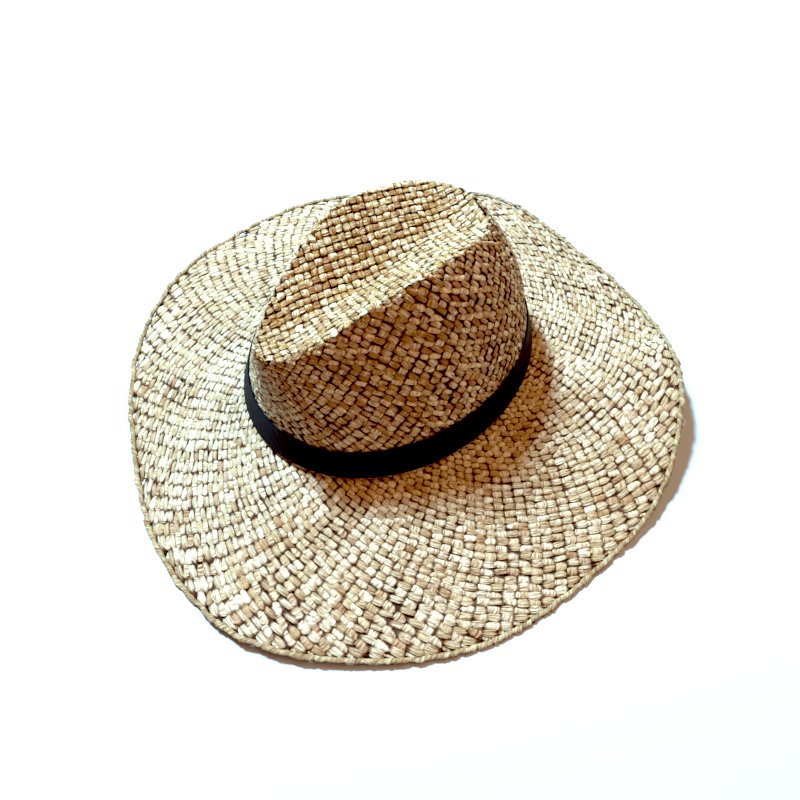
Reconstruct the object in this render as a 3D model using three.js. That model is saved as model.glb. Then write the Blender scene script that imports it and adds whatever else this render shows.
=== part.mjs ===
// Woven straw hat: a tall crown with a long centre crease, a wide wavy brim,
// a rolled edge and a black ribbon round the foot of the crown.
// Millimetres, +Z up. The front of the hat faces -Y, its wearer's left is +X.
// The origin lies on the surface that the brim rests on, under the middle of the hat.

import * as THREE from 'three';

// Straw sheet and rolled edge
const STRAW_WALL = 2.2;
const ROLL_HALF_WIDTH = 2.2;
const ROLL_HALF_HEIGHT = 1.8;
const ROLL_SIDES = 8;
const SEAT_GAP = 0.3;

// Foot of the crown, an oval at the height where the wall turns up out of the brim
const FOOT_HEIGHT = 40;
const FOOT_HALF_LENGTH = 105.3;
const FOOT_HALF_WIDTH = 85.8;
const FOOT_FOLD = 1.5;

// Middle of the foot, seen from above, with the origin under the middle of the whole hat
const FOOT_PLACE = { x: -1.8, y: -1.3 };

// Ribbon: the wall leans in behind it by the same amount all the way round
const BAND_HEIGHT = 24;
const BAND_THICKNESS = 1;
const BAND_LEAN = 6.8;

// Ridge of the crown, seen from above, runs between these two places on the centre line
const RIDGE_FRONT = -97.5;
const RIDGE_BACK = 66;
const CREASE_SHARE = 0.86;

// How the brim droops from the foot to its edge: 1 is a straight slope
const BRIM_DROOP = 1.15;

// The brim's edge, one row for each direction, counted from +X towards the back.
// reach: distance of the outline from the middle of the foot; height: middle of the roll.
const BRIM_SECTIONS = [
  { direction: 0, reach: 190.5, height: 0.5 },
  { direction: 22.5, reach: 199.5, height: 10.5 },
  { direction: 45, reach: 201, height: 30 },
  { direction: 67.5, reach: 200, height: 12 },
  { direction: 90, reach: 199.5, height: 1.5 },
  { direction: 112.5, reach: 205.5, height: 5 },
  { direction: 135, reach: 196.5, height: 0 },
  { direction: 157.5, reach: 192.5, height: 4 },
  { direction: 180, reach: 187.5, height: 9.5 },
  { direction: 202.5, reach: 186, height: 18.5 },
  { direction: 225, reach: 187.5, height: 11 },
  { direction: 247.5, reach: 186, height: 4 },
  { direction: 270, reach: 196, height: -2.5 },
  { direction: 292.5, reach: 203, height: 6.5 },
  { direction: 315, reach: 196.5, height: 5 },
  { direction: 337.5, reach: 193.5, height: 1.5 },
];

// The crown, one row for each section from the front of the hat to the back.
// half_width: from the centre line to the ridge; ridge: its height above the foot;
// crease: how deep the centre crease lies below the ridge;
// bulge: how far the wall swells past a straight line, as a share of its lean.
const CROWN_SECTIONS = [
  { half_width: 0, ridge: 94, crease: 2, bulge: 0.15 },
  { half_width: 13, ridge: 93, crease: 2.5, bulge: 0.02 },
  { half_width: 26, ridge: 109, crease: 16.5, bulge: 0.05 },
  { half_width: 35.5, ridge: 123, crease: 31, bulge: 0.12 },
  { half_width: 33.5, ridge: 118, crease: 21, bulge: 0.16 },
  { half_width: 24.5, ridge: 109, crease: 12, bulge: 0.18 },
  { half_width: 0, ridge: 107.5, crease: 8.5, bulge: 0.2 },
];

// Steps round the hat, a multiple of four so that left and right mirror each other
const TURN_STEPS = 64;

// Rows from the brim's edge to its root, as shares of the brim's width
const BRIM_ROWS = [1, 0.86, 0.72, 0.58, 0.44, 0.3, 0.17, 0.06];
// Rows up the wall from the ribbon's top to just under the ridge, as shares of the height
const WALL_ROWS = [0.2, 0.4, 0.6, 0.8, 0.94];
// Rows from the ridge down into the crease, as shares of the way
const CREASE_ROWS = [0.1, 0.3, 0.55, 0.8];

const TAU = 2 * Math.PI;

// Smooth closed curve through equally spaced values, at a share of the full turn
function around(values, share) {
  const count = values.length;
  const place = ((share % 1) + 1) % 1 * count;
  const index = Math.floor(place);
  const t = place - index;
  const at = (step) => values[(index + step + count) % count];
  const [a, b, c, d] = [at(-1), at(0), at(1), at(2)];
  const slope = c - a;
  const square = 2 * a - 5 * b + 4 * c - d;
  const cube = 3 * b - a - 3 * c + d;
  return 0.5 * (2 * b + slope * t + square * t * t + cube * t * t * t);
}

// The value of a brim column in a direction given in radians from +X
function brimValue(column, angle) {
  return around(BRIM_SECTIONS.map((row) => row[column]), angle / TAU);
}

// The value of a crown column: rows run front to back on one side and return on the other,
// where a half width changes its sign
function crownValue(column, angle) {
  const side = CROWN_SECTIONS.map((row) => row[column]);
  const sign = column === 'half_width' ? -1 : 1;
  const back = side.slice(1, -1).reverse().map((value) => sign * value);
  return around([...side, ...back], angle / TAU + 0.25);
}

// Radius of the foot's oval in a direction
function footRadius(angle) {
  return 1 / Math.hypot(Math.cos(angle) / FOOT_HALF_WIDTH, Math.sin(angle) / FOOT_HALF_LENGTH);
}

// A point at a radius, a direction and a height
function polar(radius, angle, height) {
  return new THREE.Vector3(radius * Math.cos(angle), radius * Math.sin(angle), height);
}

// Middle of the rolled edge; where the brim touches the surface it is pressed flat on it
function rollCentre(angle) {
  const height = Math.max(ROLL_HALF_HEIGHT, brimValue('height', angle));
  return { radius: brimValue('reach', angle) - ROLL_HALF_WIDTH, height };
}

// Guide points from the brim's edge over the wall and the ridge into the crease
function guidePoints(angle) {
  const foot = footRadius(angle);
  const roll = rollCentre(angle);
  const rim = roll.radius - ROLL_HALF_WIDTH - SEAT_GAP;
  const rimTop = roll.height + STRAW_WALL / 2;
  const points = BRIM_ROWS.map((share) => {
    const height = FOOT_HEIGHT + (rimTop - FOOT_HEIGHT) * share ** BRIM_DROOP;
    return polar(foot + (rim - foot) * share, angle, height);
  });

  const lean = BAND_LEAN / BAND_HEIGHT;
  points.push(polar(foot + FOOT_FOLD, angle, FOOT_HEIGHT));
  for (const rise of [0, FOOT_FOLD, BAND_HEIGHT / 2, BAND_HEIGHT + FOOT_FOLD]) {
    points.push(polar(foot - rise * lean, angle, FOOT_HEIGHT + rise));
  }

  const bandTop = points[points.length - 1];
  const ridgeMiddle = (RIDGE_FRONT + RIDGE_BACK) / 2;
  const ridgeReach = (RIDGE_BACK - RIDGE_FRONT) / 2;
  const ridge = new THREE.Vector3(
    crownValue('half_width', angle),
    ridgeMiddle + ridgeReach * Math.sin(angle),
    FOOT_HEIGHT + crownValue('ridge', angle),
  );
  const bulge = crownValue('bulge', angle);
  for (const share of WALL_ROWS) {
    const inset = share - 4 * bulge * share * (1 - share);
    const point = bandTop.clone().lerp(ridge, inset);
    point.z = bandTop.z + (ridge.z - bandTop.z) * share;
    points.push(point);
  }
  points.push(ridge);

  const crease = new THREE.Vector3(
    0,
    ridgeMiddle + CREASE_SHARE * ridgeReach * Math.sin(angle),
    ridge.z - crownValue('crease', angle),
  );
  for (const share of CREASE_ROWS) {
    points.push(ridge.clone().lerp(crease, share));
  }
  points.push(crease);
  return points;
}

// Rounds a row of guide points: each moves a sixth of the way to both neighbours
function rounded(points) {
  const last = points.length - 1;
  return points.map((point, index) => {
    if (index === 0) return point.clone();
    const before = points[index - 1];
    const after = index < last ? points[index + 1] : before.clone().setX(-before.x);
    return point.clone().multiplyScalar(4).add(before).add(after).divideScalar(6);
  });
}

// The closed geometry of a list of points and of the triangles between them
function closedGeometry(points, triangles) {
  const geometry = new THREE.BufferGeometry();
  geometry.setAttribute('position', new THREE.BufferAttribute(
    new Float32Array(points.flatMap((point) => point.toArray())), 3));
  geometry.setIndex(triangles);
  geometry.computeVertexNormals();
  return geometry;
}

// Two triangles for each cell of a strip between two rows of corner numbers
function strip(rowA, rowB) {
  return rowA.flatMap((corner, step) => {
    const next = (step + 1) % rowA.length;
    return [corner, rowA[next], rowB[next], corner, rowB[next], rowB[step]];
  });
}

// The outer face of the straw as rows of points round the hat, and its normals.
// The last row is the bottom of the crease, where left and right share their points.
function outerFace() {
  const profiles = Array.from({ length: TURN_STEPS }, (_, step) =>
    rounded(guidePoints(step / TURN_STEPS * TAU)));
  const rowCount = profiles[0].length;
  const points = [];
  const rows = [];
  for (let row = 0; row < rowCount; row += 1) {
    const corners = [];
    for (let step = 0; step < TURN_STEPS; step += 1) {
      const mirror = (TURN_STEPS * 3 / 2 - step) % TURN_STEPS;
      if (row === rowCount - 1 && mirror < step) {
        corners.push(corners[mirror]);
      } else {
        corners.push(points.length);
        points.push(profiles[step][row]);
      }
    }
    rows.push(corners);
  }
  const triangles = rows.slice(1).flatMap((corners, row) => strip(rows[row], corners));
  const sheet = closedGeometry(points, triangles);
  const normal = sheet.getAttribute('normal');
  const normals = points.map((_, index) => new THREE.Vector3().fromBufferAttribute(normal, index));
  return { points, normals, rows, triangles };
}

// Crown and brim in one piece: the outer face, an inner face one wall behind it
// and the narrow edge between them
function strawBody(face) {
  const inner = face.points.map((point, index) =>
    point.clone().addScaledVector(face.normals[index], -STRAW_WALL));
  const shift = face.points.length;
  const innerTriangles = [];
  for (let index = 0; index < face.triangles.length; index += 3) {
    const [a, b, c] = face.triangles.slice(index, index + 3);
    innerTriangles.push(shift + a, shift + c, shift + b);
  }
  const rim = face.rows[0];
  const edge = strip(rim.map((corner) => corner + shift), rim);
  return closedGeometry([...face.points, ...inner], [...face.triangles, ...edge, ...innerTriangles]);
}

// A closed ring from loops of points, each loop running once round the hat
function ring(loops) {
  const points = loops.flat();
  const rows = loops.map((loop, index) => loop.map((_, step) => index * loop.length + step));
  const triangles = rows.flatMap((row, index) => strip(row, rows[(index + 1) % rows.length]));
  return closedGeometry(points, triangles);
}

// The strand ends turned over and bound: a flat-bottomed roll along the brim's edge
function brimEdge() {
  const loops = Array.from({ length: ROLL_SIDES }, (_, side) => {
    const turn = (side + 0.5) / ROLL_SIDES * TAU;
    const stretch = 1 / Math.cos(Math.PI / ROLL_SIDES);
    return Array.from({ length: TURN_STEPS }, (_, step) => {
      const angle = step / TURN_STEPS * TAU;
      const roll = rollCentre(angle);
      const radius = roll.radius + ROLL_HALF_WIDTH * Math.cos(turn);
      return polar(radius, angle, roll.height + ROLL_HALF_HEIGHT * stretch * Math.sin(turn));
    });
  });
  return ring(loops);
}

// The ribbon: a loop that lies round the leaning wall between the foot and its top edge
function hatBand(face) {
  const first = BRIM_ROWS.length + 2;
  const bandRows = face.rows.slice(first, first + 3);
  const lifted = (corners, lift) => corners.map((corner) =>
    face.points[corner].clone().addScaledVector(face.normals[corner], lift));
  const outside = bandRows.map((corners) => lifted(corners, SEAT_GAP + BAND_THICKNESS));
  const inside = bandRows.map((corners) => lifted(corners, SEAT_GAP)).reverse();
  return ring([...outside, ...inside]);
}

function named(name, geometry, material) {
  const mesh = new THREE.Mesh(geometry, material);
  mesh.name = name;
  return mesh;
}

const straw = new THREE.MeshStandardMaterial({ color: 0xc9b78f, roughness: 0.75, metalness: 0 });
const boundStraw = new THREE.MeshStandardMaterial({ color: 0xb49a6c, roughness: 0.8, metalness: 0 });
const ribbon = new THREE.MeshStandardMaterial({ color: 0x0b0b0e, roughness: 0.6, metalness: 0 });

const face = outerFace();
const hat = new THREE.Group();
hat.position.set(FOOT_PLACE.x, FOOT_PLACE.y, 0);
hat.add(
  named('straw_body', strawBody(face), straw),
  named('brim_edge', brimEdge(), boundStraw),
  named('hat_band', hatBand(face), ribbon),
);

export default hat;
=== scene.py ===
import bpy
import numpy as np
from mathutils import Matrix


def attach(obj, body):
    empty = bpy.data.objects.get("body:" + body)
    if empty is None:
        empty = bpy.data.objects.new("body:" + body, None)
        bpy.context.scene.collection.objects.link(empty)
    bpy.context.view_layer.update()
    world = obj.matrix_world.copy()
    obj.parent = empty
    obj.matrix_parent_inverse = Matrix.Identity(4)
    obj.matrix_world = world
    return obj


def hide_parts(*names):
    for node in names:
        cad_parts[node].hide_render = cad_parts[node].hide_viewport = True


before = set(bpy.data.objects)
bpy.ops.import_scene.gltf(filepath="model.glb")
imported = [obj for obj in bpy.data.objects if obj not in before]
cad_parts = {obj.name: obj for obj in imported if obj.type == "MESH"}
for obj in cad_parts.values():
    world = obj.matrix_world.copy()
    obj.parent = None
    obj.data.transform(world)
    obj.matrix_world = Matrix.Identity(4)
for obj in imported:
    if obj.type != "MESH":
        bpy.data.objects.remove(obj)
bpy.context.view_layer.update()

# The woven brim. Raffia strips in two families run out from the crown to the rim, one winding each
# way, and pass over one and under one. They are plaited by hand while damp, so they dry in waves
# that hold the cloth's shape, and each strip keeps its own width, tone and split fibres.
MM = 0.001
# Sizes in mm, as in the solids. PLACE moves the crown's centre so that the whole hat is centred.
PLACE = np.array((-1.8, -1.3, 0.0))
ROLL_HALF_WIDTH, ROLL_HALF_HEIGHT, SEAT_GAP = 2.2, 1.8, 0.3
STRAW_WALL = 2.2
FOOT_HEIGHT, FOOT_HALF_WIDTH, FOOT_HALF_LENGTH, FOOT_FOLD = 40.0, 85.8, 105.3, 1.5
BAND_HEIGHT, BAND_LEAN = 24.0, 6.8
RIDGE_FRONT, RIDGE_BACK, CREASE_SHARE, BRIM_DROOP = -97.5, 66.0, 0.86, 1.15
# The rim's reach and lift in mm at sixteen even places round the turn, from +X.
BRIM_REACH = np.array((190.5, 199.5, 201, 200, 199.5, 205.5, 196.5, 192.5,
                       187.5, 186, 187.5, 186, 196, 203, 196.5, 193.5))
BRIM_LIFT = np.array((0.5, 10.5, 30, 12, 1.5, 5, 0, 4, 9.5, 18.5, 11, 4, -2.5, 6.5, 5, 1.5))
# The ridge's half width, its height, the crease's depth below it and the wall's bulge at seven places
# of half a turn, from the front of the crown to its back.
CROWN_HALF_WIDTH = np.array((0, 13, 26, 35.5, 33.5, 24.5, 0))
CROWN_RIDGE = np.array((94, 93, 109, 123, 118, 109, 107.5))
CROWN_CREASE = np.array((2, 2.5, 16.5, 31, 21, 12, 8.5))
CROWN_BULGE = np.array((0.15, 0.02, 0.05, 0.12, 0.16, 0.18, 0.2))
# Shares of the way from the foot to the rim, from the band to the ridge and from the ridge to the crease.
BRIM_ROWS = (1, 0.86, 0.72, 0.58, 0.44, 0.3, 0.17, 0.06)
WALL_ROWS = (0.2, 0.4, 0.6, 0.8, 0.94)
CREASE_ROWS = (0.1, 0.3, 0.55, 0.8)
BAND_FIRST_ROW = len(BRIM_ROWS) + 1
BAND_LAST_ROW = BAND_FIRST_ROW + 3
RIDGE_ROW = BAND_LAST_ROW + len(WALL_ROWS) + 1
LAST_ROW = RIDGE_ROW + len(CREASE_ROWS) + 1


def around(values, turn):
    """A closed smooth curve through evenly spaced values: the uniform cubic through four neighbours
    a, b, c, d, (2b + (c-a)t + (2a-5b+4c-d)t2 + (3b-a-3c+d)t3) / 2, at a share of the full turn."""
    place = (turn % 1.0) * len(values)
    start = np.floor(place).astype(int)
    t = place - start
    a, b, c, d = (values[(start + k) % len(values)] for k in (-1, 0, 1, 2))
    return 0.5 * (2 * b + (c - a) * t + (2 * a - 5 * b + 4 * c - d) * t**2 + (3 * b - a - 3 * c + d) * t**3)


def round_crown(values, turn, mirror=1):
    """The curve of around through values from the crown's front to its back, and back along the other
    side with the same values times mirror."""
    return around(np.concatenate([values, mirror * values[5:0:-1]]), turn + 0.25)


def hat_form(angle, row):
    """The outer face of the straw, in mm. Rows of guide points run from the rim (row 0) up the brim,
    the band and the wall to the ridge and down to the crease (the last row). The face is the uniform
    cubic B-spline over four rows at a time, and goes on straight past row 0."""
    angle, row = np.broadcast_arrays(np.asarray(angle, float), np.asarray(row, float))
    shape, angle, row = angle.shape, angle.ravel(), row.ravel()
    cos, sin, turn = np.cos(angle), np.sin(angle), angle / (2 * np.pi)

    def at(radius, height):
        return np.stack([radius * cos, radius * sin, height + 0 * cos], -1)

    foot = 1 / np.hypot(cos / FOOT_HALF_WIDTH, sin / FOOT_HALF_LENGTH)
    rim = around(BRIM_REACH, turn) - 2 * ROLL_HALF_WIDTH - SEAT_GAP
    rim_height = np.maximum(ROLL_HALF_HEIGHT, around(BRIM_LIFT, turn)) + STRAW_WALL / 2
    guides = [at(foot + (rim - foot) * m, FOOT_HEIGHT + (rim_height - FOOT_HEIGHT) * m**BRIM_DROOP)
              for m in BRIM_ROWS]
    guides.append(at(foot + FOOT_FOLD, FOOT_HEIGHT))
    guides += [at(foot - rise * BAND_LEAN / BAND_HEIGHT, FOOT_HEIGHT + rise)
               for rise in (0, FOOT_FOLD, BAND_HEIGHT / 2, BAND_HEIGHT + FOOT_FOLD)]
    wall = guides[-1]
    middle, half = (RIDGE_FRONT + RIDGE_BACK) / 2, (RIDGE_BACK - RIDGE_FRONT) / 2
    ridge = np.stack([round_crown(CROWN_HALF_WIDTH, turn, -1), middle + half * sin,
                      FOOT_HEIGHT + round_crown(CROWN_RIDGE, turn)], -1)
    for f in WALL_ROWS:
        share = np.stack([f - 4 * round_crown(CROWN_BULGE, turn) * f * (1 - f)] * 2 + [f + 0 * cos], -1)
        guides.append(wall + (ridge - wall) * share)
    guides.append(ridge)
    crease = np.stack([0 * cos, middle + CREASE_SHARE * half * sin,
                       ridge[:, 2] - round_crown(CROWN_CREASE, turn)], -1)
    guides += [ridge + (crease - ridge) * f for f in CREASE_ROWS]
    guides.append(crease)
    guides = np.stack([2 * guides[0] - guides[1]] + guides + [guides[-2] * (-1, 1, 1)])
    inside = np.clip(row, 0, LAST_ROW)
    start = np.minimum(np.floor(inside).astype(int), LAST_ROW - 1)
    t, beyond = (inside - start)[:, None], (row - inside)[:, None]
    each = np.arange(len(angle))
    a, b, c, d = (guides[start + k, each] for k in range(4))
    point = ((1 - t)**3 * a + (3 * t**3 - 6 * t**2 + 4) * b
             + (-3 * t**3 + 3 * t**2 + 3 * t + 1) * c + t**3 * d) / 6
    point = point + beyond * (c - a) / 2 + PLACE
    return point.reshape(shape + (3,))


def unit(vectors):
    """Each vector divided by its length."""
    return vectors / np.maximum(np.linalg.norm(vectors, axis=-1, keepdims=True), 1e-9)


def hat_normal(angle, row):
    """The outward normal of the face: the cross product of its steps along the rows and round the turn."""
    small_turn, small_row = 0.004, 0.02
    row = np.minimum(row, LAST_ROW - small_row)
    round_step = hat_form(angle + small_turn, row) - hat_form(angle - small_turn, row)
    up_step = hat_form(angle, row + small_row) - hat_form(angle, row - small_row)
    return unit(np.cross(round_step, up_step))


# Mean length of the profile from the rim up to each row, which spaces the strips' crossings evenly.
PARTS_PER_ROW, PROFILES = 20, 48
row_table = np.linspace(0, LAST_ROW, LAST_ROW * PARTS_PER_ROW + 1)
turns = np.linspace(0, 2 * np.pi, PROFILES, endpoint=False)
profile = hat_form(turns[:, None], row_table[None])
length_table = np.concatenate([[0], np.cumsum(np.linalg.norm(np.diff(profile, axis=1), axis=-1).mean(0))])
FOOT_LENGTH = np.interp(BAND_FIRST_ROW, row_table, length_table)
BAND_TOP_LENGTH = np.interp(BAND_LAST_ROW, row_table, length_table)


def waves(random, count, steps, knots):
    """Smooth random values for count strips: knots from -1 to 1 along each, joined by half cosines."""
    knot = random.uniform(-1, 1, (count, knots + 1))
    place = np.linspace(0, knots - 1e-6, steps)
    start = place.astype(int)
    t = 0.5 - 0.5 * np.cos(np.pi * (place - start))
    return knot[:, start] * (1 - t) + knot[:, start + 1] * t


# The points round a strip's section, the powers that square off its sides and faces and flatten the
# top of each swell, and the widest spacing that a strip fills, as a share of the median.
STRIP_SIDES, SIDE_POWER, FACE_POWER, SWELL_POWER, WIDEST_SPACING = 7, 0.75, 0.65, 0.6, 1.5
# How much each strip's own size, waves along it and lying on top change it, as shares.
WIDTH_OWN, WIDTH_WAVE, WIDTH_ON_TOP, THICK_WAVE = 0.04, 0.11, 0.08, 0.2
SWELL_WAVE, LEAN_WAVE, RIB_WAVE = 0.4, 0.26, 0.34
# The steps at each end that dive into the wall, how many mm they dive and how much they narrow.
END_STEPS, END_DIVE, END_NARROWING = 3, 1.0, 0.3
TONE_OWN, TONE_SLOW, TONE_QUICK = 0.35, 0.5, 0.7


def plaited_strips(random, angle, row, beside, beside_share, on_top, width_share, thick, swell, painted_light):
    """Many strips whose lines run on the hat's face at angle and row, one strip a line of the arrays.
    Beside holds the angle and row of lines at beside_share of the way to the next strip. A strip's
    middle rises and sinks from the middle of the wall by swell times on_top, its width is a share of
    the distance to the next strip, widest where it lies on top, and its section is a flattened oval
    with random ribs. Its first and last steps dive and narrow. The family's painted_light, painted
    light above 0 and painted shade below 0, is added to every strip's tone. Returns the sections'
    points, the distance along, the tone, the tan patches and the shade depth, which is 1 in the middle
    of the wall and 0 at its two faces and sets the painted shade on the strips' sides and in the crevices."""
    sides = STRIP_SIDES
    count, steps = angle.shape
    face, normal = hat_form(angle, row), hat_normal(angle, row)
    along = unit(np.gradient(face, axis=1))
    spacing = np.linalg.norm(np.cross(hat_form(*beside) - face, along), axis=-1) / beside_share
    spacing = np.minimum(spacing, WIDEST_SPACING * np.median(spacing))
    own = random.normal(0, 1, (count, 1)).clip(-2, 2)
    knots = max(4, steps // 4)
    width = spacing * (width_share + WIDTH_OWN * own + WIDTH_WAVE * waves(random, count, steps, knots))
    width = width * (1 + WIDTH_ON_TOP * on_top)
    height = thick * (1 + THICK_WAVE * waves(random, count, steps, knots))
    lift = swell * np.sign(on_top) * np.abs(on_top)**SWELL_POWER
    lift = lift * (1 + SWELL_WAVE * waves(random, count, steps, knots))
    across = unit(np.cross(normal, along))
    lean = LEAN_WAVE * waves(random, count, steps, knots)[..., None]
    across, up = unit(across + lean * normal), unit(normal - lean * across)
    from_end = np.minimum(np.arange(steps), np.arange(steps)[::-1])
    dive = np.clip(1 - from_end / END_STEPS, 0, 1)
    width = width * (1 - END_NARROWING * dive)
    centre = face + up * (lift - END_DIVE * dive - STRAW_WALL / 2)[..., None]
    section = np.linspace(0, 2 * np.pi, sides, endpoint=False) + np.pi / sides
    flat = np.sign(np.cos(section)) * np.abs(np.cos(section))**SIDE_POWER
    tall = np.sign(np.sin(section)) * np.abs(np.sin(section))**FACE_POWER
    ribs = waves(random, count * sides, steps, knots).reshape(count, sides, steps).transpose(0, 2, 1)
    ribs = 1 + RIB_WAVE * ribs
    point = (centre[:, :, None] + across[:, :, None] * (width[..., None] / 2 * flat)[..., None]
             + up[:, :, None] * (height[..., None] / 2 * tall * ribs)[..., None])
    point[..., 2] = np.maximum(point[..., 2], 0)
    distance = np.cumsum(np.linalg.norm(np.diff(centre, axis=1, prepend=centre[:, :1]), axis=-1), axis=1)
    tone = painted_light + own * TONE_OWN + waves(random, count, steps, knots // 2) * TONE_SLOW
    tone = tone + waves(random, count, steps, knots) * TONE_QUICK
    tan = waves(random, count, steps, max(2, steps // 8))
    # The depth in the wall, which sets the painted shade on the strips' sides and in the crevices.
    height_here = lift[..., None] + height[..., None] / 2 * tall * ribs
    shade_depth = 1 - np.minimum(np.abs(height_here) / (swell + thick / 2), 1)
    return point, distance, tone, tan, shade_depth


def closed_tubes(name, point, distance, tone, tan, shade_depth, creased=True):
    """One mesh of many closed tubes. Each is a grid of steps by section points, closed round the section
    and with a flat cap at each end. Its UV map holds the distance along in metres, and the share of the
    turn round, counted up to half from both sides so that it meets, plus the tube's number. Creased
    tubes keep the edges that run along them sharp."""
    count, steps, sides, _ = point.shape
    index = np.arange(count * steps * sides).reshape(count, steps, sides)
    here, after = index[:, :-1], index[:, 1:]
    quads = np.stack([here, np.roll(here, -1, 2), np.roll(after, -1, 2), after], -1).reshape(-1, 4)
    caps = np.concatenate([index[:, 0, ::-1], index[:, -1]])
    mesh = bpy.data.meshes.new(name)
    loops = np.concatenate([quads.ravel(), caps.ravel()])
    starts = np.concatenate([np.arange(len(quads)) * 4, len(quads) * 4 + np.arange(len(caps)) * sides])
    mesh.vertices.add(point.size // 3)
    mesh.loops.add(len(loops))
    mesh.polygons.add(len(starts))
    mesh.vertices.foreach_set("co", (point * MM).ravel())
    mesh.loops.foreach_set("vertex_index", loops)
    mesh.polygons.foreach_set("loop_start", starts)
    mesh.update(calc_edges=True)
    mesh.validate()
    share = np.linspace(0, 1, sides, endpoint=False)
    vertex_u = np.broadcast_to(distance[..., None] * MM, (count, steps, sides)).ravel()
    vertex_v = np.broadcast_to(np.abs(share - 0.5)[None, None] + np.arange(count)[:, None, None],
                               (count, steps, sides)).ravel()
    loop_vertex = np.empty(len(mesh.loops), int)
    mesh.loops.foreach_get("vertex_index", loop_vertex)
    uv = mesh.uv_layers.new(name="along_strip")
    uv.data.foreach_set("uv", np.stack([vertex_u, vertex_v], -1)[loop_vertex].ravel().astype(np.float32))
    carried = (("strip_tone", tone[..., None]), ("strip_tan", tan[..., None]), ("strip_shade_depth", shade_depth))
    for label, values in carried:
        attribute = mesh.attributes.new(label, "FLOAT", "POINT")
        attribute.data.foreach_set("value", np.broadcast_to(values, index.shape).ravel().astype(np.float32))
    mesh.polygons.foreach_set("use_smooth", np.ones(len(mesh.polygons), bool))
    if creased:
        edge = np.empty(2 * len(mesh.edges), int)
        mesh.edges.foreach_get("vertices", edge)
        lengthwise = np.abs(edge[::2] - edge[1::2]) == sides
        mesh.attributes.new("sharp_edge", "BOOLEAN", "EDGE").data.foreach_set("value", lengthwise)
    piece = bpy.data.objects.new(name, mesh)
    bpy.context.collection.objects.link(piece)
    return piece


class Sheen:
    """A node socket of one material, with +, - and * written as on numbers."""

    def __init__(self, nodes, links, socket):
        self.nodes, self.links, self.socket = nodes, links, socket

    def node(self, kind, settings=(), **values):
        """A new node's first output. The settings are set first, then the values or links of its sockets,
        which go by name with _ for a space, or by number as i0, i1 and so on."""
        made = self.nodes.new(kind)
        for key, value in dict(settings).items():
            setattr(made, key, value)
        for key, value in values.items():
            name = int(key[1:]) if key[0] == "i" and key[1:].isdigit() else key.replace("_", " ")
            if isinstance(value, Sheen):
                self.links.new(value.socket, made.inputs[name])
            else:
                made.inputs[name].default_value = value
        return Sheen(self.nodes, self.links, made.outputs[0])

    def out(self, name):
        """Another output of the same node."""
        return Sheen(self.nodes, self.links, self.socket.node.outputs[name])

    def maths(self, operation, a, b):
        return self.node("ShaderNodeMath", {"operation": operation}, i0=a, i1=b)

    def __add__(self, other):
        return self.maths("ADD", self, other)

    def __radd__(self, other):
        return self.maths("ADD", other, self)

    def __sub__(self, other):
        return self.maths("SUBTRACT", self, other)

    def __rsub__(self, other):
        return self.maths("SUBTRACT", other, self)

    def __mul__(self, other):
        return self.maths("MULTIPLY", self, other)

    def __rmul__(self, other):
        return self.maths("MULTIPLY", other, self)

    def clamp(self, low, high):
        """The value carried from the range low..high onto 0..1, and held there."""
        return self.node("ShaderNodeMapRange", {"clamp": True}, Value=self, From_Min=low, From_Max=high)

    def mix(self, first, second):
        """A colour from first to second, with this socket as the share."""
        made = self.node("ShaderNodeMix", {"data_type": "RGBA"}, i0=self)
        for slot, value in ((6, first), (7, second)):
            if isinstance(value, Sheen):
                self.links.new(value.socket, made.socket.node.inputs[slot])
            else:
                made.socket.node.inputs[slot].default_value = (*value, 1)
        return made.out(2)


def new_material(name):
    """A new material, its shader node, and an empty socket whose node method makes the first nodes."""
    material = bpy.data.materials.new(name)
    material.use_nodes = True
    nodes, links = material.node_tree.nodes, material.node_tree.links
    shader = nodes["Principled BSDF"]
    return material, shader, Sheen(nodes, links, None)


def linear(*levels):
    """A colour given in screen levels from 0 to 255, as the shader's linear values."""
    c = np.array(levels) / 255
    return tuple(np.where(c <= 0.04045, c / 12.92, ((c + 0.055) / 1.055)**2.4))


STRAW_IVORY, STRAW_CREAM, STRAW_TAN = linear(230, 218, 184), linear(194, 169, 124), linear(160, 107, 60)
# The side and crevice colours are painted shade: the brown of the nubs' sides and the dark of the crevices
# in the weave.
STRAW_SIDE_SHADE, STRAW_CREVICE_SHADE = linear(146, 98, 48), linear(74, 40, 18)
# Cells of the noise per metre along a strip and per turn round it, for split fibres and for fine hairs.
FIBRE_CELLS, HAIR_CELLS = (110.0, 9.0, 1.0), (190.0, 18.0, 1.0)
STRAW_ROUGHNESS, FIBRE_ROUGHNESS, STRAW_RELIEF = 0.62, 0.2, 0.0025


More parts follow.
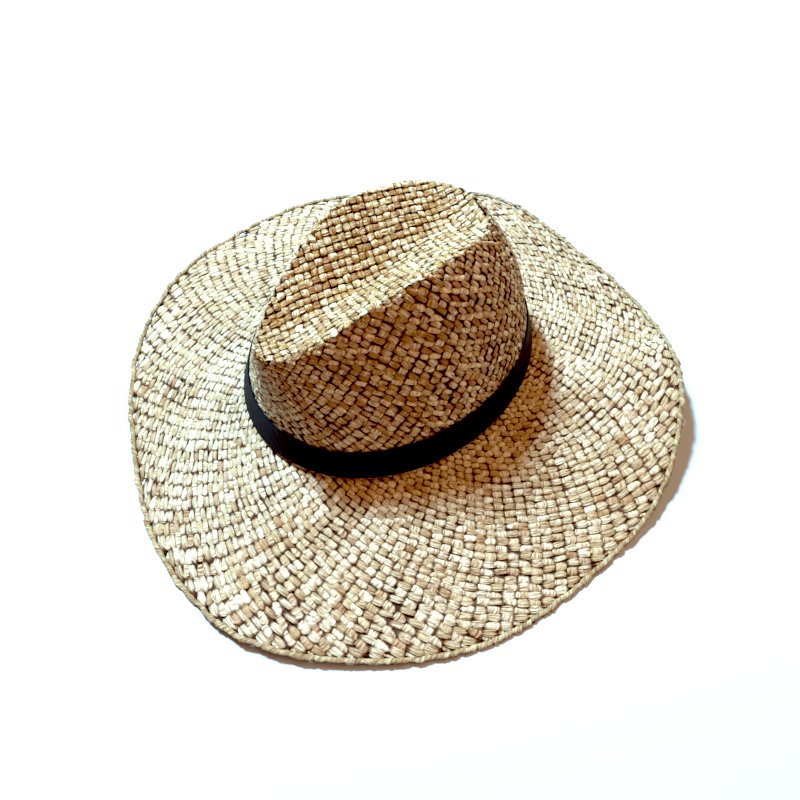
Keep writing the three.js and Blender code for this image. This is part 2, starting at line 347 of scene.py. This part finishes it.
def straw_material(name, ivory, cream, tan_colour, side_shade_colour, crevice_shade):
    """Raffia. The face goes from cream to ivory by each strip's tone and by fibres that run along it,
    and to tan in patches and on single hairs. Painted shade turns the sides brown and the crevices
    dark, by the depth in the wall, with a frayed border. The fibres and hairs give the bump too."""
    material, shader, make = new_material(name)
    uv = make.node("ShaderNodeUVMap", {"uv_map": "along_strip"})
    noise = {"noise_dimensions": "2D"}
    fibre_place = make.node("ShaderNodeMapping", Vector=uv, Scale=FIBRE_CELLS)
    fibre = make.node("ShaderNodeTexNoise", noise, Vector=fibre_place, Scale=1.0, Detail=3.0)
    hair_place = make.node("ShaderNodeMapping", Vector=uv, Scale=HAIR_CELLS)
    hair = make.node("ShaderNodeTexNoise", noise, Vector=hair_place, Scale=1.0, Detail=2.0)
    tone = make.node("ShaderNodeAttribute", {"attribute_name": "strip_tone"}).out("Fac")
    tan = make.node("ShaderNodeAttribute", {"attribute_name": "strip_tan"}).out("Fac")
    shade_depth = make.node("ShaderNodeAttribute", {"attribute_name": "strip_shade_depth"}).out("Fac")
    bleached = (tone * 0.6 + 0.5 + (fibre - 0.5) * 3.0).clamp(0.0, 1.0)
    browned = (tan + (fibre - 0.5) * 1.2).clamp(0.45, 1.1) * 0.8
    brown_hair = hair.clamp(0.52, 0.66) * 0.6
    # Painted shade: the deeper a point lies in the wall, the more it takes the side shade and then the
    # crevice shade.
    frayed_shade_depth = shade_depth + (fibre - 0.5) * 0.4
    side_shade_share = frayed_shade_depth.clamp(0.25, 0.65) * 0.85
    crevice_shade_share = frayed_shade_depth.clamp(0.4, 0.72)
    face = brown_hair.mix(browned.mix(bleached.mix(cream, ivory), tan_colour), tan_colour)
    colour = crevice_shade_share.mix(side_shade_share.mix(face, side_shade_colour), crevice_shade)
    make.links.new(colour.socket, shader.inputs["Base Color"])
    rough = STRAW_ROUGHNESS + fibre * FIBRE_ROUGHNESS
    make.links.new(rough.socket, shader.inputs["Roughness"])
    relief = fibre * 0.7 + hair * 0.3
    bump = make.node("ShaderNodeBump", Height=relief, Strength=1.0, Distance=STRAW_RELIEF)
    make.links.new(bump.socket, shader.inputs["Normal"])
    return material


straw = straw_material("raffia", STRAW_IVORY, STRAW_CREAM, STRAW_TAN, STRAW_SIDE_SHADE, STRAW_CREVICE_SHADE)

BRIM_COUNTS, BRIM_LEAN, BRIM_RISE = (106, 106), 0.2565, 3.5
RIM_TUCK, BAND_TUCK = 1.6, 8.0
WANDER_SINES, WANDER_SIZE, WANDER_STEEPEST = 12, 0.2, 0.14
wander_random = np.random.default_rng(7)
wander_round = wander_random.integers(4, 20, WANDER_SINES)
wander_up = wander_random.uniform(-WANDER_STEEPEST, WANDER_STEEPEST, WANDER_SINES)
wander_phase = wander_random.uniform(0, 2 * np.pi, (2, WANDER_SINES))


def wander(angle, length):
    """How far, in mm round and up, the hand has drawn the plaiting off its even course: two sums of
    sines of the angle and the length. Both families follow it, so that they still meet."""
    wave = angle[..., None] * wander_round + length[..., None] * wander_up
    return [WANDER_SIZE * np.sin(wave + phase).sum(-1) for phase in wander_phase]


# A line's own drift in spacings with its knots, the radius in mm at which the wander round is taken,
# the length in mm over which the wander up fades in at the ends, and the place of the line beside.
DRIFT_SLOW, DRIFT_QUICK, DRIFT_SLOW_KNOTS, DRIFT_QUICK_KNOTS = 0.1, 0.06, 9, 30
MEAN_RADIUS, END_EASE, BESIDE_SHARE = 115.0, 12.0, 0.25


def round_lines(random, side, counts, lean, rise, first, last, per_crossing):
    """Lines of one family of a plait that goes round the crown, from the length first to last. Crossing
    (i, j) has the angle i a - j b and lies i rise + j other above first, with a = 2 pi lean / counts[0],
    b = 2 pi (1 - lean) / counts[1] and other = rise counts[0] / counts[1], so the pattern closes on
    itself. A strip of the first family keeps its j and one of the second its i. Each line drifts a
    little by itself and wanders with the rest, except upwards at its ends. Past the rim the rows go
    on at the rate of the first one."""
    other = rise * counts[0] / counts[1]
    a, b = 2 * np.pi * lean / counts[0], 2 * np.pi * (1 - lean) / counts[1]
    step, strips = (rise, counts[1]) if side > 0 else (other, counts[0])
    height = np.linspace(0, last - first, int((last - first) / step * per_crossing) + 1)[None]
    line = np.arange(strips)[:, None] + 0 * height
    i, j = ((height - line * other) / rise, line) if side > 0 else (line, (height - line * rise) / other)
    drift = DRIFT_SLOW * waves(random, strips, height.size, DRIFT_SLOW_KNOTS)
    drift = drift + DRIFT_QUICK * waves(random, strips, height.size, DRIFT_QUICK_KNOTS)
    angle = i * a - j * b + drift * 2 * np.pi / strips
    round_shift, up_shift = wander(angle, first + height)
    ends = np.clip(np.minimum(height, last - first - height) / END_EASE, 0, 1)
    angle, length = angle + round_shift / MEAN_RADIUS, first + height + up_shift * ends
    past_rim = length / length_table[PARTS_PER_ROW]
    row = np.where(length < 0, past_rim, np.interp(length, length_table, row_table))
    beside = (angle + BESIDE_SHARE * 2 * np.pi / strips, row)
    return angle, row, beside, BESIDE_SHARE, side * np.cos(np.pi * (i + j))


# The families: side, seed, width as a share of the spacing, thickness in mm and how much paler,
# which is painted light on the wide family and painted shade on the narrow one.
BRIM_FAMILIES = {"wide": (1, 11, 1.06, 1.2, 0.2), "narrow": (-1, 12, 1.02, 1.3, -0.25)}
BRIM_SAMPLES, PLAIT_SWELL = 4, 0.7
for family, (side, seed, width_share, thick, painted_light) in BRIM_FAMILIES.items():
    random = np.random.default_rng(seed)
    lines = round_lines(random, side, BRIM_COUNTS, BRIM_LEAN, BRIM_RISE,
                        -RIM_TUCK, FOOT_LENGTH + BAND_TUCK, BRIM_SAMPLES)
    cloth = plaited_strips(random, *lines, width_share, thick, PLAIT_SWELL, painted_light)
    half = BRIM_COUNTS[0] // 2
    for part, chosen in (("near", slice(half, None)), ("far", slice(0, half))):
        piece = closed_tubes(f"brim_strips_{family}_{part}", *(values[chosen] for values in cloth))
        piece.data.materials.append(straw)
        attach(piece, "root")
        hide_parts("straw_body")

# The woven crown, of the same raffia, with its cream, tan, sides and crevices painted darker and
# warmer than the brim's as painted shade of the crown wall. Its wall is plaited on from the brim,
# from under the band to the ridge, with other counts. The top inside the ridge is where the plaiting
# began as a square, so there the strips cross as the straight lines of a flat cloth folded down
# along the crease.
CROWN_IVORY, CROWN_SHADED_CREAM, CROWN_SHADED_TAN = linear(242, 228, 184), linear(184, 144, 84), linear(150, 88, 40)
CROWN_SIDE_SHADE, CROWN_CREVICE_SHADE = linear(134, 76, 28), linear(46, 15, 4)
crown_straw_shaded = straw_material("crown_raffia_shaded", CROWN_IVORY, CROWN_SHADED_CREAM, CROWN_SHADED_TAN, CROWN_SIDE_SHADE, CROWN_CREVICE_SHADE)
WALL_COUNTS, WALL_LEAN, WALL_RISE, RIDGE_LAP = (116, 52), 0.711, 2.6, 2.5
RIDGE_LENGTH = np.interp(RIDGE_ROW, row_table, length_table)
# The families: side, seed, samples from one crossing to the next and how much paler, which is
# painted light on the wide family and painted shade on the narrow one.
WALL_FAMILIES = {"wide": (1, 21, 4, 0.2), "narrow": (-1, 22, 5, -0.2)}
WALL_WIDTH_SHARE, WALL_THICK = 0.95, 1.15
for family, (side, seed, samples, painted_light) in WALL_FAMILIES.items():
    random = np.random.default_rng(seed)
    lines = round_lines(random, side, WALL_COUNTS, WALL_LEAN, WALL_RISE, BAND_TOP_LENGTH - BAND_TUCK,
                        RIDGE_LENGTH + RIDGE_LAP / 2, samples)
    cloth = plaited_strips(random, *lines, WALL_WIDTH_SHARE, WALL_THICK, PLAIT_SWELL, painted_light)
    piece = closed_tubes(f"wall_strips_{family}", *cloth)
    piece.data.materials.append(crown_straw_shaded)
    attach(piece, "root")
    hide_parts("straw_body")

# The flat cloth of the top: its spacing in mm, its turn, and how much it foreshortens down the dents.
# Then the halvings, and the lowest share, of the search for a point's place.
TOP_SPACING, TOP_TURN, TOP_SLOPE = 4.5, np.radians(75), 1.25
HALVINGS, LOWEST_SHARE = 40, -1.5
RIDGE_HALF = (RIDGE_BACK - RIDGE_FRONT) / 2
ridge_lengths = np.linalg.norm(np.diff(profile[:, row_table >= RIDGE_ROW], axis=1), axis=-1).sum(1)


def top_place(across, along):
    """Angle, distance past the ridge and row on the hat for a point of the flat cloth. Seen from above,
    the point a share f of the way from the ridge to the crease has y = half (1 - (1 - crease share) f)
    sin(angle) and x = (1 - f) times the ridge's half width there. The share f is found by halving a
    range, and is below 0 for a point outside the ridge."""
    x = (across * np.cos(TOP_TURN) - along * np.sin(TOP_TURN)) / TOP_SLOPE
    y = (across * np.sin(TOP_TURN) + along * np.cos(TOP_TURN)) / RIDGE_HALF
    low, high = np.full(x.shape, LOWEST_SHARE), np.full(x.shape, 1.0)
    for _ in range(HALVINGS):
        middle = (low + high) / 2
        lean = np.arcsin(np.clip(y / (1 - (1 - CREASE_SHARE) * middle), -1, 1))
        half_width = round_crown(CROWN_HALF_WIDTH, lean / (2 * np.pi), -1)
        outside = (1 - middle) * half_width < np.abs(x)
        low, high = np.where(outside, low, middle), np.where(outside, middle, high)
    angle = np.where(x < 0, np.pi - lean, lean)
    past = -low * np.interp(angle, turns, ridge_lengths, period=2 * np.pi)
    in_dent = np.interp(low, (0, *CREASE_ROWS, 1), np.arange(RIDGE_ROW, LAST_ROW + 1))
    return angle, past, np.where(low > 0, in_dent, np.interp(RIDGE_LENGTH - past, length_table, row_table))


# Lines tried on each side of the middle and steps along each, the probes along them, how many of those
# a line needs, the place in mm of the line beside, and a line's own drift in spacings with its knots.
TOP_LINES, TOP_STEPS = 26, 120
PROBE_REACH, PROBES, FEWEST_PROBES, BESIDE_STEP = 120, 961, 40, 1.5
TOP_DRIFT_SLOW, TOP_DRIFT_QUICK, TOP_SLOW_KNOTS, TOP_QUICK_KNOTS = 0.1, 0.07, 12, 40


def top_lines(random, side, steps):
    """Lines of one family, a spacing apart on the flat cloth, each between the two places where it goes
    past the ridge, which are found with probes a quarter of a millimetre apart. Lines with too few
    probes inside are left out. Crossings lie a spacing apart, and line i is on top at those where i
    plus the crossing's number is even, or odd for the other family."""
    number = np.arange(-TOP_LINES, TOP_LINES + 1)[:, None]
    probe = np.linspace(-PROBE_REACH, PROBE_REACH, PROBES)
    line, reach = number * TOP_SPACING + 0 * probe, probe + 0 * number
    past = top_place(line, reach)[1] if side > 0 else top_place(reach, line)[1]
    inside = past < RIDGE_LAP
    used = inside.sum(1) > FEWEST_PROBES
    number, inside = number[used], inside[used]
    first, last = probe[inside.argmax(1)], probe[-1 - inside[:, ::-1].argmax(1)]
    place = first[:, None] + (last - first)[:, None] * np.linspace(0, 1, steps)
    drift = TOP_DRIFT_SLOW * waves(random, len(number), steps, TOP_SLOW_KNOTS)
    drift = drift + TOP_DRIFT_QUICK * waves(random, len(number), steps, TOP_QUICK_KNOTS)
    offset = (number + drift) * TOP_SPACING
    if side > 0:
        here, beside = top_place(offset, place), top_place(offset + BESIDE_STEP, place)
    else:
        here, beside = top_place(place, offset), top_place(place, offset + BESIDE_STEP)
    on_top = side * np.cos(np.pi * (place / TOP_SPACING + number))
    return here[0], here[2], (beside[0], beside[2]), BESIDE_STEP / TOP_SPACING, on_top


# The families: side, seed, width as a share of the spacing, swell in mm and how much paler, which
# is painted light on the first family and painted shade on the second.
TOP_FAMILIES = {"first": (1, 23, 1.04, 0.75, 0.15), "second": (-1, 24, 0.88, 0.6, -0.25)}
TOP_THICK = 1.1
for family, (side, seed, width_share, swell, painted_light) in TOP_FAMILIES.items():
    random = np.random.default_rng(seed)
    lines = top_lines(random, side, TOP_STEPS)
    cloth = plaited_strips(random, *lines, width_share, TOP_THICK, swell, painted_light)
    piece = closed_tubes(f"top_strips_{family}", *cloth)
    piece.data.materials.append(crown_straw_shaded)
    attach(piece, "root")
    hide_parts("straw_body")

# The bound rim. The strip ends are turned under at the rim and held there by two raffia strips wound
# round them, so the edge reads as a thin rope with a slanting lay.
RIM_LENGTH, ROLL_ROPES, ROLL_LAY = 1230, 2, 7.0
RIM_STEPS, ROPE_SIDES = 2100, 8
ROPE_HALF_WIDTH, ROPE_HALF_THICK, ROPE_SWELL = 1.6, 0.7, 0.25
# How far inside the roll's edge the strips' centres run, and how far they stray, in mm.
ROPE_INSET_OUT, ROPE_INSET_UP, STRAY_EACH, STRAY_BOTH = 1.25, 1.05, 0.5, 0.6
# The rope's painted shade depth halfway up, how much more it has on its lower faces, its waves and its
# limit.
ROPE_SHADE_DEPTH, SHADE_DEPTH_BELOW, SHADE_DEPTH_WAVE, DEEPEST_ROPE_SHADE, ROPE_TONE = 0.6, 0.9, 0.35, 0.95, 0.9
EACH_KNOTS, BOTH_KNOTS, SWELL_KNOTS, SHADE_DEPTH_KNOTS, TONE_KNOTS, TAN_KNOTS = 340, 190, 350, 140, 400, 350


def rim_line(angle):
    """Centre of the roll: the reach less half its width, at the rim's lift or as low as it lies flat."""
    turn = angle / (2 * np.pi)
    radius = around(BRIM_REACH, turn) - ROLL_HALF_WIDTH
    height = np.maximum(ROLL_HALF_HEIGHT, around(BRIM_LIFT, turn))
    return np.stack([radius * np.cos(angle), radius * np.sin(angle), height], -1) + PLACE


def rim_ropes(seed, ropes, lay_count):
    """Strips wound round the rim line like the lay of a rope: strip i has its centre at the angle
    2 pi (lay_count t + i / ropes) round the line at share t of the turn, on an oval inside the roll.
    Each strays a little by itself and both stray together, half as far up as out, and their lower
    faces get more painted shade."""
    random = np.random.default_rng(seed)
    steps, small_turn = RIM_STEPS, 0.002
    t = np.linspace(0, 1, steps)
    line = rim_line(2 * np.pi * t)
    along = unit(rim_line(2 * np.pi * t + small_turn) - rim_line(2 * np.pi * t - small_turn))
    out = unit(np.cross(along, (0, 0, 1)))
    up = np.cross(out, along)
    wind = 2 * np.pi * (lay_count * t[None] + np.arange(ropes)[:, None] / ropes)
    wide, tall = ROLL_HALF_WIDTH - ROPE_INSET_OUT, ROLL_HALF_HEIGHT - ROPE_INSET_UP
    cos, sin = np.cos(wind)[..., None], np.sin(wind)[..., None]
    stray = waves(random, ropes, steps, EACH_KNOTS)[..., None] * STRAY_EACH
    stray = stray + waves(random, 1, steps, BOTH_KNOTS)[..., None] * STRAY_BOTH
    centre = line + (out * (wide * cos) + up * (tall * sin)) + stray * (out + 0.5 * up)
    outward = unit(out * (cos / wide) + up * (sin / tall))
    path = unit(np.gradient(centre, axis=1))
    across = unit(np.cross(outward, path))
    section = np.linspace(0, 2 * np.pi, ROPE_SIDES, endpoint=False)
    swell = 1 + ROPE_SWELL * waves(random, ropes, steps, SWELL_KNOTS)[..., None]
    flat, tall = ROPE_HALF_WIDTH * swell * np.cos(section), ROPE_HALF_THICK * swell * np.sin(section)
    point = (centre[:, :, None] + across[:, :, None] * flat[..., None]
             + outward[:, :, None] * tall[..., None])
    point[..., 2] = np.maximum(point[..., 2], 0)
    # Painted shade: the rope's lower faces take more of the side and crevice shade colours.
    above = (point[..., 2] - line[None, :, None, 2]) / ROLL_HALF_HEIGHT
    shade_depth = ROPE_SHADE_DEPTH - SHADE_DEPTH_BELOW * above
    shade_depth = shade_depth + SHADE_DEPTH_WAVE * waves(random, ropes, steps, SHADE_DEPTH_KNOTS)[..., None]
    distance = np.broadcast_to(t * RIM_LENGTH, (ropes, steps))
    tone = waves(random, ropes, steps, TONE_KNOTS) * ROPE_TONE
    tan = waves(random, ropes, steps, TAN_KNOTS)
    return point, distance, tone, tan, np.clip(shade_depth, 0, DEEPEST_ROPE_SHADE)


BOUND_IVORY, BOUND_CREAM = linear(214, 194, 150), linear(164, 132, 86)
bound_straw = straw_material("bound_raffia", BOUND_IVORY, BOUND_CREAM, STRAW_TAN, STRAW_SIDE_SHADE, STRAW_CREVICE_SHADE)
lays = round(RIM_LENGTH / ROLL_LAY)
rim = closed_tubes("rim_binding", *rim_ropes(seed=31, ropes=ROLL_ROPES, lay_count=lays))
rim.data.materials.append(bound_straw)
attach(rim, "root")
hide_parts("brim_edge")

# Loose fibres. Split ends of the raffia strips, less than half a millimetre thick, stand out from the
# binding at the back and the left of the rim. Nothing holds their free ends.
FIBRES, FIBRE_STEPS, FIBRE_SIDES = 30, 9, 4
FIBRES_FROM, FIBRES_TO = np.radians(92), np.radians(235)
FIBRE_SHORTEST, FIBRE_LONGEST, FIBRE_RADIUS, FIBRE_TAPER = 3, 9, 0.22, 0.014
FIBRE_SLANT, FIBRE_RISE, FIBRE_BEND = 1.4, 0.25, 0.05
random = np.random.default_rng(37)
fibre_angle = random.uniform(FIBRES_FROM, FIBRES_TO, (FIBRES, 1))
root = rim_line(fibre_angle)
outward = unit(root * (1, 1, 0))
slant = random.uniform(-FIBRE_SLANT, FIBRE_SLANT, (FIBRES, 1, 1))
heading = unit(outward + slant * np.cross((0, 0, 1), outward) + (0, 0, FIBRE_RISE))
run = np.linspace(0, 1, FIBRE_STEPS)[None, :, None]
run = run * random.uniform(FIBRE_SHORTEST, FIBRE_LONGEST, (FIBRES, 1, 1))
fibre_line = root + heading * run + random.uniform(-FIBRE_BEND, FIBRE_BEND, (FIBRES, 1, 3)) * run**2
fibre_turn = np.arange(FIBRE_SIDES) * 2 * np.pi / FIBRE_SIDES
ring = np.stack([0 * fibre_turn, np.cos(fibre_turn), np.sin(fibre_turn)], -1)
fibre_points = fibre_line[:, :, None] + ring * (FIBRE_RADIUS - FIBRE_TAPER * run)[..., None]
fibre_points[..., 2] = np.maximum(fibre_points[..., 2], 0)
fibre_tone = random.uniform(-0.5, 1, (FIBRES, 1)) + 0 * run[..., 0]
none = 0 * fibre_tone
fibres = closed_tubes("loose_fibres", fibre_points, run[..., 0], fibre_tone, none, none[..., None])
fibres.data.materials.append(straw)
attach(fibres, "root")
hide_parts("brim_edge")

# The hat band. A black ribbon of fine ribbed cloth, drawn tight round the foot of the crown, with its
# ends lapped at the back. It is about a millimetre thick with soft woven edges.
# Its two faces' heights over the straw, its rounding and its lap's lift in mm, its places round in
# radians, and its rows, its columns, and the knots and size in rows of the pull on its edges.
RIBBON_NEAR, RIBBON_FAR, RIBBON_EDGE = 0.3, 1.3, 0.9
RIBBON_START, RIBBON_LAP, RIBBON_LAP_LIFT = np.pi / 2, 0.16, 1.0
LAP_STARTS_BEFORE, LAP_RISE_TURN = 0.04, 0.05
RIBBON_ROWS, RIBBON_COLUMNS, PULL_KNOTS, PULL_ROWS = 21, 480, 190, 0.045


def ribbon_strip(rows, columns):
    """A strip of cloth laid on the band rows: points run round its thin section, up the outer face and
    down the inner one, and the last part of the turn lifts by one thickness over the first. Its long
    edges are rounded and pulled a little up and down."""
    share = np.linspace(0, 1, rows)
    turn = np.linspace(RIBBON_START, RIBBON_START + 2 * np.pi + RIBBON_LAP, columns)
    lap = np.clip((turn - (RIBBON_START + 2 * np.pi - LAP_STARTS_BEFORE)) / LAP_RISE_TURN, 0, 1)
    lift = RIBBON_LAP_LIFT * lap * lap * (3 - 2 * lap)
    angle, row = np.meshgrid(turn, BAND_FIRST_ROW + 1 + 2 * share, indexing="ij")
    pull = waves(np.random.default_rng(41), 2, columns, PULL_KNOTS)
    row = row + PULL_ROWS * (pull[0][:, None] * share**6 + pull[1][:, None] * (1 - share)**6)
    face, normal = hat_form(angle, row), hat_normal(angle, row)
    edge = np.clip(np.minimum(share, 1 - share) * BAND_HEIGHT / RIBBON_EDGE, 0, 1)
    round_off = np.sqrt(1 - (1 - edge)**2)
    middle, half = (RIBBON_NEAR + RIBBON_FAR) / 2, (RIBBON_FAR - RIBBON_NEAR) / 2
    outer = face + normal * (middle + half * round_off[None] + lift[:, None])[..., None]
    inner = face + normal * (middle - half * round_off[None] + lift[:, None])[..., None]
    return np.concatenate([outer, inner[:, -2:0:-1]], 1)


ribbon_points = ribbon_strip(RIBBON_ROWS, RIBBON_COLUMNS)[None]
foot_edge = ribbon_points[:, :, 0]
edge_steps = np.linalg.norm(np.diff(foot_edge, axis=1, prepend=foot_edge[:, :1]), axis=-1)
ribbon_distance = np.cumsum(edge_steps, axis=1)
none = ribbon_distance * 0
ribbon = closed_tubes("ribbon", ribbon_points, ribbon_distance, none, none, none[..., None], creased=False)
RIB_SCALE, RIB_SLANT, RIB_RELIEF = 300.0, 0.012, 0.0004
RIBBON_SHADE, RIBBON_LIGHT = (0.003, 0.007, 0.010), (0.010, 0.022, 0.030)
ribbon_black, shader, make = new_material("ribbon_black")
uv = make.node("ShaderNodeUVMap", {"uv_map": "along_strip"})
rib_place = make.node("ShaderNodeMapping", Vector=uv, Scale=(1.0, RIB_SLANT, 1.0))
rib = make.node("ShaderNodeTexWave", {"wave_type": "BANDS", "bands_direction": "X"},
                Vector=rib_place, Scale=RIB_SCALE, Distortion=0.6, Detail=1.0)
cloth_noise = make.node("ShaderNodeTexNoise", Vector=uv, Scale=60.0, Detail=4.0)
colour = (rib * 0.7 + cloth_noise * 0.3).clamp(0.2, 1.0).mix(RIBBON_SHADE, RIBBON_LIGHT)
make.links.new(colour.socket, shader.inputs["Base Color"])
shader.inputs["Roughness"].default_value = 0.55
shader.inputs["Specular IOR Level"].default_value = 0.1
bump = make.node("ShaderNodeBump", Height=rib, Strength=0.6, Distance=RIB_RELIEF)
make.links.new(bump.socket, shader.inputs["Normal"])
ribbon.data.materials.append(ribbon_black)
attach(ribbon, "root")
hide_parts("hat_band")

# The camera, where the photograph was taken from: above the front and right of the hat, close by. The
# target on the hat falls on the given column and row of the picture, which the lens shift sees to.
CAMERA_AZIMUTH, CAMERA_HEIGHT = np.radians(49.16), np.radians(56.02)
CAMERA_TARGET = np.array((-0.0018, -0.0013, 0.040))
CAMERA_DISTANCE, FOCAL_PIXELS, IMAGE_PIXELS = 0.54846, 801.2, 800
TARGET_COLUMN, TARGET_ROW = 390.886, 353.965
SENSOR_WIDTH = 36
right = np.array((np.cos(CAMERA_AZIMUTH), np.sin(CAMERA_AZIMUTH), 0))
away = np.array((-np.sin(CAMERA_AZIMUTH), np.cos(CAMERA_AZIMUTH), 0))
back = -away * np.cos(CAMERA_HEIGHT) + np.array((0, 0, np.sin(CAMERA_HEIGHT)))


def stand(item, side, back, distance):
    """Puts a camera or a lamp at a distance along back from the target, facing it, with its own X axis
    along side."""
    pose = np.eye(4)
    pose[:3, 0], pose[:3, 1], pose[:3, 2] = side, np.cross(back, side), back
    pose[:3, 3] = CAMERA_TARGET + back * distance
    item.matrix_world = pose.T.tolist()


camera_data = bpy.data.cameras.new("camera")
camera = bpy.data.objects.new("camera", camera_data)
bpy.context.collection.objects.link(camera)
stand(camera, right, back, CAMERA_DISTANCE)
camera_data.sensor_width = SENSOR_WIDTH
camera_data.lens = FOCAL_PIXELS / IMAGE_PIXELS * SENSOR_WIDTH
camera_data.shift_x = (IMAGE_PIXELS / 2 - TARGET_COLUMN) / IMAGE_PIXELS
camera_data.shift_y = -(IMAGE_PIXELS / 2 - TARGET_ROW) / IMAGE_PIXELS
camera_data.clip_start = 0.01
bpy.context.scene.camera = camera

# The floor is a plain pale sheet of paper. A warm brown card stands just out of the picture, on the
# camera's side of the hat, and turns its light into the crown's shade.
FLOOR_COLOUR, CARD_COLOUR, PAPER_ROUGHNESS = (0.58, 0.66, 0.69, 1), (0.24, 0.055, 0.012, 1), 0.9
FLOOR_HALF, CARD_HALF, CARD_HEIGHT, CARD_GAP, CARD_LEAN = 3, 0.8, 0.4, 0.28, 0.07


def paper_sheet(name, middle, half_across, half_up, colour):
    """A flat matt sheet, which only sets the stage: its corners are the middle plus and minus the two
    halves, against the clock as seen from its front."""
    mesh = bpy.data.meshes.new(name)
    corners = [middle + half_across * x + half_up * y for x, y in ((-1, -1), (1, -1), (1, 1), (-1, 1))]
    mesh.from_pydata([tuple(corner) for corner in corners], [], [(0, 1, 2, 3)])
    sheet = bpy.data.objects.new(name, mesh)
    bpy.context.collection.objects.link(sheet)
    paper, shader, _ = new_material(f"{name}_paper")
    shader.inputs["Base Color"].default_value = colour
    shader.inputs["Roughness"].default_value = PAPER_ROUGHNESS
    mesh.materials.append(paper)


half_rise = (-away * CARD_LEAN + (0, 0, 1)) * CARD_HEIGHT / 2
paper_sheet("floor", np.zeros(3), np.array((FLOOR_HALF, 0, 0)), np.array((0, FLOOR_HALF, 0)), FLOOR_COLOUR)
paper_sheet("card", -away * CARD_GAP + half_rise, right * CARD_HALF, half_rise, CARD_COLOUR)

# The light. A small cool lamp stands high at the far left, for sharp shadows, and a wide, weak and warm
# one hangs overhead. The room adds a little warm light from all round, and the black level takes a
# little off every level, most off green and blue, so that the shade is deep and warm.
ROOM_COLOUR, ROOM_STRENGTH, BLACK_LEVEL = (1.0, 0.84, 0.66, 1), 0.05, (0.016, 0.027, 0.029)
KEY_DIRECTION = -right * 0.69 + away * 0.72 + np.array((0, 0, 1.62))
FILL_DIRECTION = np.array((0.0, 0.001, 1.0)) + right * 0.35


def hang_lamp(name, direction, distance, size, power, colour):
    """A square lamp at a distance along direction from the target, facing it, with its sides level."""
    data = bpy.data.lights.new(name, "AREA")
    data.size, data.energy, data.color = size, power, colour
    lamp = bpy.data.objects.new(name, data)
    bpy.context.collection.objects.link(lamp)
    direction = unit(direction)
    stand(lamp, unit(np.cross((0, 0, 1), direction)), direction, distance)


hang_lamp("key", KEY_DIRECTION, distance=3.0, size=0.4, power=216, colour=(0.62, 1.0, 1.36))
hang_lamp("fill", FILL_DIRECTION, distance=2.0, size=1.6, power=24, colour=(1.0, 0.64, 0.40))
world = bpy.data.worlds.new("studio")
bpy.context.scene.world = world
world.use_nodes = True
background = world.node_tree.nodes["Background"]
background.inputs["Color"].default_value = ROOM_COLOUR
background.inputs["Strength"].default_value = ROOM_STRENGTH
view = bpy.context.scene.view_settings
view.view_transform = "Standard"
view.use_curve_mapping = True
view.curve_mapping.black_level = BLACK_LEVEL
view.curve_mapping.update()
